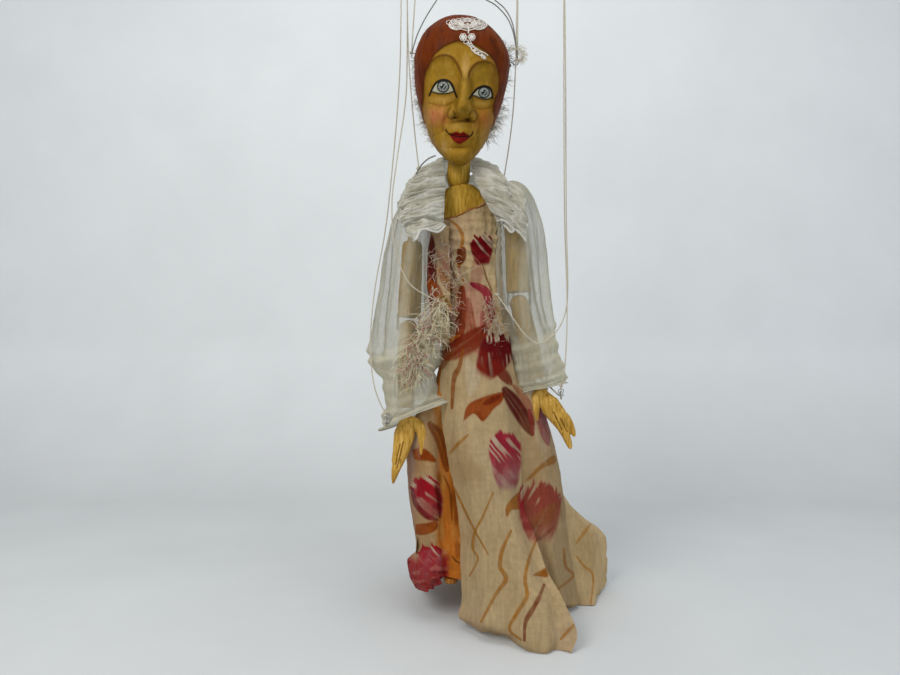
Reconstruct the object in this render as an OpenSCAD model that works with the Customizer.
// Carved wooden lady marionette in a silk gown and organza jacket,
// hung from a crossed wooden control. +Z up, the face looks along -Y, so the
// figure's left is +X. The origin is on the floor under the main bar. Millimetres.

/* [Figure] */
// Height of the neck pivot above the floor
neck_z = 463; // [455:1:470]
// Sideways lean of the chest block, raising the figure's left shoulder
chest_lean = 8; // [0:1:9]
// Sideways tilt of the head
head_lean = 4; // [0:1:5]
// Greatest radius of the egg-shaped head
head_r = 51.5; // [48:0.5:52]
// Radius of the neck and of its rounded end
neck_r = 12.5; // [11:0.1:12.8]

/* [Arms] */
// Radius of the rounded top of each limb piece
arm_ball_r = 10; // [8:0.5:10.2]
// Radius of the upper arm at its cut lower end
arm_end_r = 12.8; // [12.5:0.1:13]
// Radius of the loose upper sleeve stand-in
sleeve_r = 15.2; // [15:0.1:15.4]
// Radius of the cuff stand-in
cuff_r = 15; // [14:0.5:15.5]

/* [Legs] */
// Height of the knee pivots
knee_z = 160; // [154:1:163]
// Height of the ankle pivots
ankle_z = 66; // [63:1:68]
// Radius of the thighs at the hip
thigh_r = 9.5; // [8:0.1:9.5]

/* [Gown] */
// Wall thickness of the cloth stand-ins
cloth = 1.6; // [1:0.1:2]
// Radius of the train at the hem
train_r = 118; // [100:1:120]
// How far the hem of the train is swept to the figure's left
train_sweep = 26; // [10:1:30]

/* [Control and strings] */
// Height of the underside of the cross bar
bar_z = 806; // [790:1:830]
// Length of the cross bar
bar_l = 274; // [270:1:278]
// Length of the main bar
main_l = 264; // [256:1:280]
// Thickness of the control bars
bar_t = 12; // [10:0.5:14]
// Radius of the strings
string_r = 0.6; // [0.4:0.1:0.8]
// Inside radius of the hanging ring
ring_r = 8; // [6:0.5:10]

/* [Hidden] */
NODES = [
  "chest", "shoulder_pins", "waist_staple", "bodice", "collar_ruffle", "jacket_back",
  "waist_rosette", "body_strings",
  "control_cross_bar", "control_main_bar", "shoulder_bar", "control_bolts", "hanging_ring",
  "string_eyes", "head_bar", "head_strings", "slack_strings", "neck_swivel",
  "head", "neck", "ear_eyes", "lace_headdress", "feather_tufts",
  "shoulder_link_l", "upper_arm_l", "elbow_staple_l", "sleeve_upper_l", "forearm_l",
  "wrist_staple_l", "sleeve_cuff_l", "hand_l", "wrist_ring_l", "string_link_l", "hand_string_l",
  "shoulder_link_r", "upper_arm_r", "elbow_staple_r", "sleeve_upper_r", "forearm_r",
  "wrist_staple_r", "sleeve_cuff_r", "hand_r", "wrist_ring_r", "string_link_r", "hand_string_r",
  "pelvis", "hip_axle", "skirt_train",
  "thigh_l", "knee_pin_l", "shin_l", "ankle_pin_l", "foot_l", "skirt_panel_l",
  "thigh_r", "knee_pin_r", "shin_r", "ankle_pin_r", "foot_r", "skirt_panel_r"
];
node = "all";
$fn = 48;

// Pieces are drawn with the main bar at this x, and place() brings it to x = 0
main_x = 18;

// Pivots
neck_at = [-2, 0, neck_z];
waist_at = [16, 0, 322];
hip_z = 268;

// Paired values are [left, right], picked by side = 0 or 1
hip_x = [32, -10];
hip_mid_x = (hip_x[0] + hip_x[1]) / 2;
shoulder_at = [[58, 0, 435], [-51, 0, 414]];      // link eye on the shoulder pin
arm_top_at = [[58, 0, 422], [-51, 0, 401]];       // link bar in the upper arm
elbow_at = [[63, -6, 326], [-55, -4, 299]];
wrist_at = [[84, -14, 236], [-57, -28, 207]];
wrist_ring_at = [[103, -34, 231], [-75, -46, 205]];

wire_r = 1.2;         // steel wire and leg pins
wire_hole_r = 1.28;   // holes that turn on them
swivel_hole_r = 1.7;
clear = 2;            // overrun of a cut past the surface

wood = "#c79a35";
dark_wood = "#8a5a2b";
steel = "#8f9296";
organza = "#e9e9e2";
silk = "#d9c39a";
twine = "#b9ab90";

// ---- Helpers ----
function shown(name) = node == "all" || node == name;
function outward(side) = side == 0 ? 1 : -1;
function direction(from, to) = (to - from) / norm(to - from);

module place() { translate([-main_x, 0, 0]) children(); }

module ball(at, r, facets = 32) { translate(at) sphere(r = r, $fn = facets); }

// Turns +Z to point from one place to another
module along(from, to) {
  span = to - from;
  translate(from)
    rotate([0, acos(span[2] / norm(span)), atan2(span[1], span[0])])
      children();
}

module rod(from, to, r) { along(from, to) cylinder(h = norm(to - from), r = r, $fn = 24); }

// String through a list of points
module thread(path) {
  union() {
    for (i = [0:len(path) - 2]) rod(path[i], path[i + 1], string_r);
    for (i = [1:len(path) - 2]) ball(path[i], string_r * 1.05, 24);
  }
}

module torus(major, minor, around, across) {
  rotate_extrude($fn = around) translate([major, 0]) circle(r = minor, $fn = across);
}

// Rings whose holes run along X and along Y
module ring_x(at, major, minor, around = 48, across = 24) {
  translate(at) rotate([0, 90, 0]) torus(major, minor, around, across);
}
module ring_y(at, major, minor, around = 48, across = 24) {
  translate(at) rotate([90, 0, 0]) torus(major, minor, around, across);
}

// Cylinders centred on a point, along X and along Y, used as pins and as bores
module cylinder_x(at, r, length) {
  translate(at - [length / 2, 0, 0]) rotate([0, 90, 0]) cylinder(h = length, r = r, $fn = 32);
}
module cylinder_y(at, r, length) {
  translate(at + [0, length / 2, 0]) rotate([90, 0, 0]) cylinder(h = length, r = r, $fn = 32);
}

// U-shaped wire staple: bar along X, legs going up
module staple(at, half_width, leg) {
  end = half_width + wire_r;
  union() {
    translate(at - [end, 0, 0]) rotate([0, 90, 0]) cylinder(h = 2 * end, r = wire_r, $fn = 24);
    for (s = [-1, 1])
      translate(at + [s * half_width, 0, 0]) cylinder(h = leg, r = wire_r * 0.98, $fn = 24);
  }
}

// Wall section one cloth thick, outside a line of [radius, z] points
module cloth_section(line) {
  polygon(concat(
    [line[0]],
    [for (p = line) p + [cloth, 0]],
    [for (i = [len(line) - 1:-1:1]) line[i]]
  ));
}

// ---- Torso ----
bodice_gap = 1.2;
shoulder_pin_r = 1.5;
shoulder_pin_in = [38, 26];   // depth inward from the link eye
shoulder_pin_out = 5;         // reach outward to the pin's head

// Frame of the leaning chest, origin at the neck pivot
module in_chest() { translate(neck_at) rotate([0, -chest_lean, 0]) children(); }

module chest_shape(grow) {
  hull() {
    translate([0, 1, -22]) cylinder(h = 11 + grow, r = 15 + grow, $fn = 32);
    for (s = [-1, 1]) {
      ball([s * 23, 1, -39], 12 + grow);
      ball([s * 15, -3, -70], 16 + grow);
      translate([s * 10, 0, -126]) cylinder(h = 10, r = 15 + grow, $fn = 32);
    }
  }
}

// Chest block with a round neck socket and a hole for the swivel stem
module chest() {
  color(wood) difference() {
    in_chest() chest_shape(0);
    ball(neck_at, neck_r + 1.1, 64);
    translate(neck_at - [0, 0, 50]) cylinder(h = 45, r = swivel_hole_r);
  }
}

module shoulder_pins() {
  color(steel) for (side = [0, 1]) {
    s = outward(side);
    union() {
      translate(shoulder_at[side] - [s * shoulder_pin_in[side], 0, 0])
        rotate([0, s * 90, 0])
          cylinder(h = shoulder_pin_in[side] + shoulder_pin_out, r = shoulder_pin_r);
      translate(shoulder_at[side] + [s * shoulder_pin_out, 0, 0])
        rotate([0, s * 90, 0]) cylinder(h = 1.6, r = 3.4);
    }
  }
}

module waist_staple() { color(steel) staple(waist_at, half_width = 10.4, leg = 22); }

// Shell round the chest, cut away at the arms
module bodice() {
  color(silk) difference() {
    in_chest() intersection() {
      difference() {
        chest_shape(bodice_gap + cloth);
        chest_shape(bodice_gap);
      }
      translate([-60, -60, -122]) cube([120, 120, 76]);
    }
    for (p = shoulder_at) translate(p - [0, 0, 6]) sphere(r = 22);
  }
}

// Collar section, [radius, z]
ruffle_section = [[24, -2], [36, -6], [44, -4], [40, 2], [30, 6], [24, 5]];

// Collar, open at the front
module collar_ruffle() {
  color(organza) translate([neck_at[0], 0, 450]) rotate([0, -chest_lean, 0]) rotate([0, 0, -55])
    rotate_extrude(angle = 290) polygon(ruffle_section);
}

// Flat sheet behind the chest
module jacket_back() { color(organza) translate([2, 29, 344]) cube([60, 2, 92]); }

// Disc with a round recess, at the front of the waist
module waist_rosette() {
  color(wood) translate([-19, -27, waist_at[2]]) rotate([90, 0, -20]) difference() {
    cylinder(h = 9, r = 9);
    translate([0, 0, 6]) cylinder(h = 4, r = 4.5);
  }
}

// ---- Control ----
cross_end_r = 7;
main_end_r = 8;
shoulder_bar_y = 44;
hanging_ring_y = 22;
main_z = bar_z + bar_t;
control_top_z = main_z + bar_t;
bolt_r = 2;
bolt_end = 2;     // height of the bolt's head and reach of its stem past each side
string_eye_z = bar_z - 3.4;
string_eye_r = 1.8;
// Places of the screw eyes, [x, y]
string_eye_at = [[-57, 3], [113, 3], [-60, shoulder_bar_y], [66, shoulder_bar_y]];

// Round-ended bar standing on the level of its two end points
module bar(from, to, r, thick = bar_t) {
  hull() for (p = [from, to]) translate(p) cylinder(h = thick, r = r, $fn = 32);
}

// Hole up through a bar whose underside is at z
module bar_hole(x, y, z) { translate([x, y, z - 1]) cylinder(h = bar_t + 2, r = bolt_r); }

module control_cross_bar() {
  reach = bar_l / 2 - cross_end_r;
  color(dark_wood) difference() {
    bar([main_x - reach, 0, bar_z], [main_x + reach, 0, bar_z], cross_end_r);
    for (x = [main_x, neck_at[0]]) bar_hole(x, 0, bar_z);
  }
}

module control_main_bar() {
  reach = main_l / 2 - main_end_r;
  color(dark_wood) difference() {
    bar([main_x, -reach, main_z], [main_x, reach, main_z], main_end_r);
    for (y = [0, hanging_ring_y, shoulder_bar_y]) bar_hole(main_x, y, main_z);
  }
}

module shoulder_bar() {
  color(dark_wood) difference() {
    bar([main_x - 86, shoulder_bar_y, bar_z], [main_x + 58, shoulder_bar_y, bar_z], 6);
    bar_hole(main_x, shoulder_bar_y, bar_z);
  }
}

// Bolt clamping bottom to top, with a round head and a six-sided nut
module bolt(x, y, bottom, top) {
  nut_h = 2.6;
  union() {
    translate([x, y, bottom - bolt_end]) cylinder(h = top - bottom + 2 * bolt_end, r = bolt_r);
    translate([x, y, top]) cylinder(h = bolt_end, r = 4.2);
    translate([x, y, bottom - nut_h]) cylinder(h = nut_h, r = 3.8, $fn = 6);
  }
}

module control_bolts() {
  color(steel) {
    bolt(main_x, 0, bar_z, control_top_z);
    bolt(main_x, shoulder_bar_y, bar_z, control_top_z);
    bolt(neck_at[0], 0, bar_z - 14, main_z);
  }
}

// Flat ring on a stem with a collar, on top of the main bar
module hanging_ring() {
  ring_z = control_top_z + 4 + ring_r + 2.5;
  color(steel) union() {
    difference() {
      translate([main_x, hanging_ring_y + 1.5, ring_z])
        rotate([90, 0, 0]) cylinder(h = 3, r = ring_r + 2.8);
      translate([main_x, hanging_ring_y + 3, ring_z])
        rotate([90, 0, 0]) cylinder(h = 6, r = ring_r);
    }
    translate([main_x, hanging_ring_y, main_z + 1]) cylinder(h = bar_t + 4.6, r = 2);
    translate([main_x, hanging_ring_y, control_top_z]) cylinder(h = 1.6, r = 4.6);
  }
}

module string_eyes() {
  color(steel) for (p = string_eye_at)
    union() {
      ring_x([p[0], p[1], string_eye_z], string_eye_r, 0.6, around = 40, across = 16);
      translate([p[0], p[1], string_eye_z + string_eye_r])
        cylinder(h = 8, r = 0.8, $fn = 20);
    }
}

// ---- Body and head strings ----
// Points below each screw eye, in the order of string_eye_at
body_string_paths = [
  // waist
  [[-57, 16, 560], [-58, 27, 447], [-44, 30, 380], [-20, 33, 338], [2, 15, 338]],
  [[112, 26, 400], [100, 34, 330], [66, 36, 318], [40, 30, 330], [28, 13, 341]],
  // shoulders
  [[-57, 40, 520], [-37, 18, 424], [-30, 12, 423]],
  [[62, 38, 520], [44, 22, 438], [34, 12, 432]]
];

head_bar_z = bar_z - 13.4;
head_bar_h = 9.4;
head_knot_z = bar_z - 3.9;
head_string_x = [-44, 58];
head_string_ends = [[-49.3, 0, 604.4], [67.4, 0, 596.6]];

slack_string_x = [4, 8, 12];
// Points below the head bar, in the order of slack_string_x
slack_string_paths = [
  [[2, -1, 720], [-22, 0, 655], [-50.6, 0.6, 605]],
  [[6, -3, 700], [40, -4, 645], [68, -0.8, 597.5]],
  [[26, 3, 690], [58, 3, 634], [69, 1, 598]]
];

module body_strings() {
  color(twine) for (i = [0:len(string_eye_at) - 1])
    thread(concat(
      [[string_eye_at[i][0], string_eye_at[i][1], string_eye_z - string_eye_r]],
      body_string_paths[i]
    ));
}

module head_bar() {
  color(dark_wood) difference() {
    bar([-48, 0, head_bar_z], [61, 0, head_bar_z], 5, head_bar_h);
    translate([neck_at[0], 0, bar_z - 15]) cylinder(h = 14, r = bolt_r + 0.05);
    for (x = concat(head_string_x, slack_string_x))
      translate([x, 0, bar_z - 15]) cylinder(h = 14, r = string_r + 0.1, $fn = 24);
  }
}

// Knotted on top of the head bar
module head_strings() {
  color(twine) for (i = [0, 1]) {
    x = head_string_x[i];
    union() {
      ball([x, 0, head_knot_z], 0.8, 24);
      thread([[x, 0, head_knot_z], [x, 0, bar_z - 17], head_string_ends[i]]);
    }
  }
}

module slack_strings() {
  color("#6d6a60") for (i = [0:len(slack_string_x) - 1])
    thread(concat([[slack_string_x[i], 0, bar_z - 6]], slack_string_paths[i]));
}

// ---- Head and neck ----
neck_in_head = [2, 6];    // x, y of the neck pivot in the head's frame
ear_z = 590;

// Head outline, [radius, z]
head_profile = [
  [0, 480], [16, 481], [26, 489], [35, 503], [42, 522], [47, 545], [head_r - 1.2, 568],
  [head_r, 588], [48.5, 602], [40, 616], [27, 626], [13, 631], [0, 632.5]
];
// Section of the lace band, [radius, z]
lace_section = [[49.4, 602], [50.6, 603], [42, 617.6], [29, 627.8], [28, 626.6], [41, 616.4]];

// Frame of the tilted head, Z on the head's axis and measured from the floor
module in_head() {
  translate(neck_at) rotate([0, head_lean, 0])
    translate([-neck_in_head[0], -neck_in_head[1], -neck_z])
      children();
}

// T-shaped: stem in the chest, cross pin in the neck
module neck_swivel() {
  stem = 44;
  pin = 18;
  color(steel) union() {
    translate(neck_at - [0, 0, stem]) cylinder(h = stem, r = swivel_hole_r - 0.08);
    translate(neck_at - [pin / 2, 0, 0]) rotate([0, 90, 0]) cylinder(h = pin, r = 1.9);
  }
}

// Egg with a cone on the face, bored for the neck
module head() {
  color(wood) difference() {
    union() {
      in_head() rotate_extrude($fn = 96) polygon(head_profile);
      in_head() translate([0, -42, 531]) rotate([-14, 0, 0]) cylinder(h = 26, r1 = 11, r2 = 5);
    }
    in_head() translate([neck_in_head[0], neck_in_head[1], 470])
      cylinder(h = 40, r = neck_r + 0.02);
  }
}

module neck() {
  color(wood) difference() {
    union() {
      ball(neck_at, neck_r, 64);
      translate(neck_at) rotate([0, head_lean, 0]) cylinder(h = 46, r = neck_r);
    }
    // conical mouth that lets the neck swing on the swivel stem
    translate(neck_at - [0, 0, 13]) cylinder(h = 13.2, r1 = 8.2, r2 = 2.6);
    cylinder_x(neck_at, 1.98, 40);
  }
}

module ear_eyes() {
  y = neck_in_head[1];
  color(steel) in_head() for (s = [-1, 1]) union() {
    translate([s * (head_r - 7), y, ear_z])
      rotate([0, s * 90, 0]) cylinder(h = 8.6, r = 0.9, $fn = 20);
    ring_y([s * (head_r + 3.6), y, ear_z], 2.6, 0.8, around = 40, across = 16);
  }
}

// Band over the front of the crown
module lace_headdress() {
  color("white") in_head() rotate([0, 0, -120])
    rotate_extrude(angle = 60, $fn = 96) polygon(lace_section);
}

// Roll round the back of the head
module feather_tufts() {
  color("#efe9dc") in_head() rotate([0, 0, 30])
    rotate_extrude(angle = 120, $fn = 96)
      translate([head_r + 1.6, 560]) circle(r = 2.2, $fn = 24);
}

// ---- Arms ----
wrist_ring_r = 4;
string_link_r = 2.6;
hand_ring_y = -10.6;            // rings at the tops of the hand strings
hand_string_x = [110, -62];     // their places along the cross bar
// Points of the hand strings from the wrist up
hand_string_paths = [
  [[106, -40, 262], [111, -22, 345], [110, hand_ring_y, 420]],
  [[-90, -46, 245], [-98, -22, 292], [-97, hand_ring_y, 340], [-87, hand_ring_y, 437],
   [-64, hand_ring_y, 560]]
];
// Offsets from the wrist to the fingertips
fingertip = [[33, -8, -62], [-12, -6, -66]];
thumb_tip_in = [4, 19];         // how far the thumb tip lies inward of the wrist

// Eye on the shoulder pin, opening to a stirrup whose bar lies in the upper arm
module shoulder_link(side) {
  top = arm_top_at[side];
  half = 9.1;
  bend = 7.6;
  color(steel) union() {
    ring_x(shoulder_at[side], 2.9, wire_r);
    cylinder_y(top, wire_r, 2 * (half + wire_r));
    for (s = [-1, 1]) {
      corner = top + [0, s * half, bend];
      rod(top + [0, s * half, -0.1], corner, wire_r * 0.95);
      rod(corner, shoulder_at[side] + [0, s * 2.2, -1.9], wire_r * 0.95);
      ball(corner, wire_r, 24);
    }
  }
}

module upper_arm(side) {
  top = arm_top_at[side];
  length = norm(elbow_at[side] - top);
  cut = length - 12.4;          // flat lower end, above the elbow
  color(wood) difference() {
    union() {
      cylinder_y(top, 5.6, 14);
      along(top, elbow_at[side]) rotate_extrude() polygon([
        [0, 0], [5.4, 0], [5.6, 7.5], [9.6, 8.5], [11.2, 14], [12, 50],
        [arm_end_r, length - 24], [arm_end_r, cut - 1], [arm_end_r - 1, cut], [0, cut]
      ]);
    }
    cylinder_y(top, wire_hole_r, 60);
  }
}

module elbow_staple(side) {
  color(steel) staple(elbow_at[side], half_width = arm_ball_r + 1.6, leg = 17);
}

// Tube on the line between two joints, from one distance along it to another
module sleeve(top, bottom, start, end, r) {
  dir = direction(top, bottom);
  color(organza) difference() {
    rod(top + dir * start, top + dir * end, r);
    rod(top + dir * (start - clear), top + dir * (end + clear), r - cloth);
  }
}

module sleeve_upper(side) { sleeve(arm_top_at[side], elbow_at[side], 14, 78, sleeve_r); }

module sleeve_cuff(side) {
  length = norm(wrist_at[side] - elbow_at[side]);
  sleeve(elbow_at[side], wrist_at[side], 26, length - 4, cuff_r);
}

module forearm(side) {
  elbow = elbow_at[side];
  length = norm(wrist_at[side] - elbow);
  color(wood) difference() {
    union() {
      translate(elbow) sphere(r = arm_ball_r);
      along(elbow, wrist_at[side]) rotate_extrude() polygon([
        [0, 0], [arm_ball_r - 0.2, 1.5], [arm_ball_r + 0.8, 22], [arm_ball_r + 0.4, 45],
        [9, length - 24], [9, length - 11.5], [8.4, length - 10.8], [0, length - 10.8]
      ]);
    }
    cylinder_x(elbow, wire_hole_r, 60);
  }
}

module wrist_staple(side) {
  wrist = wrist_at[side];
  ring = wrist_ring_at[side];
  dir = direction(elbow_at[side], wrist);
  root = wrist - dir * 11;
  outrigger_r = 0.8;
  color(steel) union() {
    staple(wrist, half_width = 7.6, leg = 20);
    // outrigger that carries the hand string's ring
    rod(wrist - dir * 15, root + (ring - root) * 0.62, outrigger_r);
    rod(root + (ring - root) * 0.6, ring - [outward(side) * 2.4, 0, 0], outrigger_r);
    cylinder_x(ring, outrigger_r, 6);
  }
}

module hand(side) {
  wrist = wrist_at[side];
  s = outward(side);
  tip = fingertip[side];
  knuckles = wrist + tip * 0.3 + [s * 3, 0, 0];
  color(wood) difference() {
    union() {
      ball(wrist, 6.2);
      // palm
      hull() {
        ball(wrist + [0, 0, -3], 5.6);
        ball(knuckles, 7);
        ball(wrist + tip * 0.3 + [-s * 6, 0, 2], 5.4);
      }
      // fingers
      hull() {
        ball(knuckles, 6.8);
        ball(wrist + tip * 0.7, 5);
        ball(wrist + tip, 2.4);
      }
      // thumb
      hull() {
        ball(wrist + [-s * 6, 0, -12], 5);
        ball(wrist + [-s * thumb_tip_in[side], -3, -40], 3.4);
      }
    }
    cylinder_x(wrist, wire_hole_r, 40);
  }
}

module wrist_ring(side) { color(steel) ring_x(wrist_ring_at[side], wrist_ring_r, 0.6); }

module string_link(side) {
  color(steel) ring_y(wrist_ring_at[side] + [0, 0, wrist_ring_r], string_link_r, 0.5);
}

// Loop in the link, knot, string, and a ring in front of the cross bar
module hand_string(side) {
  loop = wrist_ring_at[side] + [0, 0, wrist_ring_r + string_link_r];
  knot = loop + [0, 0, 3.4];
  x = hand_string_x[side];
  color(twine) union() {
    ring_x(loop, 1.5, 0.35);
    ball(knot, 1.7);
    thread(concat([knot], hand_string_paths[side], [[x, hand_ring_y, bar_z - 2]]));
    ring_y([x, hand_ring_y, bar_z + 3.4], 5, 1);
  }
}

// ---- Pelvis and legs ----
hip_axle_r = 1.5;
knee_tongue = 6;
ankle_tongue = 5;

module pelvis() {
  color(wood) difference() {
    union() {
      ball(waist_at, 8.8, 64);
      hull() {
        translate(waist_at - [4, 0, 12]) cylinder(h = 10, r = 7, $fn = 32);
        for (x = [-9, 13]) ball([waist_at[0] + x, 0, 296], 14.5);
      }
      // block between the thighs
      translate([hip_mid_x - 9.5, -9, hip_z - 9]) cube([19, 18, 30]);
    }
    // clearance above the thighs
    for (x = [-40, 22]) translate([x, -30, 270]) cube([40, 60, 13]);
    cylinder_x(waist_at, wire_hole_r, 60);
    cylinder_x([hip_mid_x, 0, hip_z], hip_axle_r, 60);
  }
}

module hip_axle() {
  color(steel) union() {
    cylinder_x([hip_mid_x, 0, hip_z], hip_axle_r, 66);
    for (x = [-23.5, 42.2])
      translate([x, 0, hip_z]) rotate([0, 90, 0]) cylinder(h = 1.8, r = 3.6);
  }
}

// Slotted at the knee for the shin's tongue
module thigh(side) {
  hip = [hip_x[side], 0, hip_z];
  knee = [hip_x[side], 0, knee_z];
  length = hip_z - knee_z;
  slot = knee_tongue + 0.6;
  color(wood) difference() {
    union() {
      translate(hip) sphere(r = thigh_r);
      translate(knee) rotate_extrude() polygon([
        [0, 0], [8.6, 1], [9, 20], [thigh_r - 0.1, 70], [thigh_r - 0.1, length], [0, length]
      ]);
      translate(knee) sphere(r = 8.6);
    }
    cylinder_x(hip, hip_axle_r + 0.08, 40);
    cylinder_x(knee, wire_r, 40);
    translate(knee - [slot / 2, 15, 16]) cube([slot, 30, 28]);
  }
}

module knee_pin(side) { color(steel) cylinder_x([hip_x[side], 0, knee_z], wire_r, 17.4); }

// Tongue at the knee, slot at the ankle
module shin(side) {
  knee = [hip_x[side], 0, knee_z];
  ankle = [hip_x[side], 0, ankle_z];
  top = knee_z - ankle_z - 13;
  slot = ankle_tongue + 0.6;
  color(wood) difference() {
    union() {
      cylinder_x(knee, 7.6, knee_tongue);
      translate(knee - [knee_tongue / 2, 6, 16]) cube([knee_tongue, 12, 16]);
      translate(ankle) rotate_extrude() polygon([
        [0, 0], [6.6, 0.5], [6.8, 30], [8.4, 70], [8.2, top - 1], [7.4, top], [0, top]
      ]);
      translate(ankle) sphere(r = 6.7);
    }
    cylinder_x(knee, wire_hole_r, 40);
    cylinder_x(ankle, wire_r, 40);
    translate(ankle - [slot / 2, 12, 10]) cube([slot, 24, 19]);
  }
}

module ankle_pin(side) { color(steel) cylinder_x([hip_x[side], 0, ankle_z], wire_r, 14); }

module foot(side) {
  x = hip_x[side];
  ankle = [x, 0, ankle_z];
  sole = ankle_z - 27;
  color(dark_wood) difference() {
    union() {
      cylinder_x(ankle, 6.2, ankle_tongue);
      translate([x - ankle_tongue / 2, -5, sole + 10]) cube([ankle_tongue, 10, 17]);
      // heel, ball and toe
      hull() {
        translate([x, 13, sole]) cylinder(h = 12, r = 9, $fn = 32);
        translate([x, -10, sole]) cylinder(h = 13, r = 9.5, $fn = 32);
        translate([x, -33, sole]) cylinder(h = 5, r = 7, $fn = 32);
      }
    }
    cylinder_x(ankle, wire_hole_r, 40);
  }
}

// ---- Gown ----
gown_top = 250;
// Inner lines of the cloth from the hem up, [radius, z]
panel_l_line = [[82, 3], [31, 150], [26, gown_top]];
panel_r_line = [[56, 5], [52, 60], [16, 146], [14, gown_top]];
train_line = [[train_r, 0], [48, gown_top]];

// Front of the gown over the figure's left leg
module skirt_panel_l() {
  color(silk) intersection() {
    translate([hip_x[0] + 1, 0, 0]) rotate([0, 0, -158])
      rotate_extrude(angle = 146) cloth_section(panel_l_line);
    translate([4, -200, 0]) cube([200, 400, 400]);
  }
}

// Narrower panel over the figure's right leg
module skirt_panel_r() {
  color(silk) intersection() {
    translate([hip_x[1] - 2, 0, 0]) rotate([0, 0, -178])
      rotate_extrude(angle = 168) cloth_section(panel_r_line);
    translate([-198, -200, 0]) cube([199.5, 400, 400]);
  }
}

// Back of the gown, sheared so that only the hem moves sideways
module skirt_train() {
  shear = [
    [1, 0, -train_sweep / gown_top, 18 + train_sweep],
    [0, 1, 0, 12],
    [0, 0, 1, 0]
  ];
  color(silk) multmatrix(shear) rotate([0, 0, 22])
    rotate_extrude(angle = 126) cloth_section(train_line);
}

if (shown("chest")) place() chest();
if (shown("shoulder_pins")) place() shoulder_pins();
if (shown("waist_staple")) place() waist_staple();
if (shown("bodice")) place() bodice();
if (shown("collar_ruffle")) place() collar_ruffle();
if (shown("jacket_back")) place() jacket_back();
if (shown("waist_rosette")) place() waist_rosette();
if (shown("body_strings")) place() body_strings();
if (shown("control_cross_bar")) place() control_cross_bar();
if (shown("control_main_bar")) place() control_main_bar();
if (shown("shoulder_bar")) place() shoulder_bar();
if (shown("control_bolts")) place() control_bolts();
if (shown("hanging_ring")) place() hanging_ring();
if (shown("string_eyes")) place() string_eyes();
if (shown("head_bar")) place() head_bar();
if (shown("head_strings")) place() head_strings();
if (shown("slack_strings")) place() slack_strings();
if (shown("neck_swivel")) place() neck_swivel();
if (shown("head")) place() head();
if (shown("neck")) place() neck();
if (shown("ear_eyes")) place() ear_eyes();
if (shown("lace_headdress")) place() lace_headdress();
if (shown("feather_tufts")) place() feather_tufts();
if (shown("shoulder_link_l")) place() shoulder_link(0);
if (shown("upper_arm_l")) place() upper_arm(0);
if (shown("elbow_staple_l")) place() elbow_staple(0);
if (shown("sleeve_upper_l")) place() sleeve_upper(0);
if (shown("forearm_l")) place() forearm(0);
if (shown("wrist_staple_l")) place() wrist_staple(0);
if (shown("sleeve_cuff_l")) place() sleeve_cuff(0);
if (shown("hand_l")) place() hand(0);
if (shown("wrist_ring_l")) place() wrist_ring(0);
if (shown("string_link_l")) place() string_link(0);
if (shown("hand_string_l")) place() hand_string(0);
if (shown("shoulder_link_r")) place() shoulder_link(1);
if (shown("upper_arm_r")) place() upper_arm(1);
if (shown("elbow_staple_r")) place() elbow_staple(1);
if (shown("sleeve_upper_r")) place() sleeve_upper(1);
if (shown("forearm_r")) place() forearm(1);
if (shown("wrist_staple_r")) place() wrist_staple(1);
if (shown("sleeve_cuff_r")) place() sleeve_cuff(1);
if (shown("hand_r")) place() hand(1);
if (shown("wrist_ring_r")) place() wrist_ring(1);
if (shown("string_link_r")) place() string_link(1);
if (shown("hand_string_r")) place() hand_string(1);
if (shown("pelvis")) place() pelvis();
if (shown("hip_axle")) place() hip_axle();
if (shown("skirt_train")) place() skirt_train();
if (shown("thigh_l")) place() thigh(0);
if (shown("knee_pin_l")) place() knee_pin(0);
if (shown("shin_l")) place() shin(0);
if (shown("ankle_pin_l")) place() ankle_pin(0);
if (shown("foot_l")) place() foot(0);
if (shown("skirt_panel_l")) place() skirt_panel_l();
if (shown("thigh_r")) place() thigh(1);
if (shown("knee_pin_r")) place() knee_pin(1);
if (shown("shin_r")) place() shin(1);
if (shown("ankle_pin_r")) place() ankle_pin(1);
if (shown("foot_r")) place() foot(1);
if (shown("skirt_panel_r")) place() skirt_panel_r();
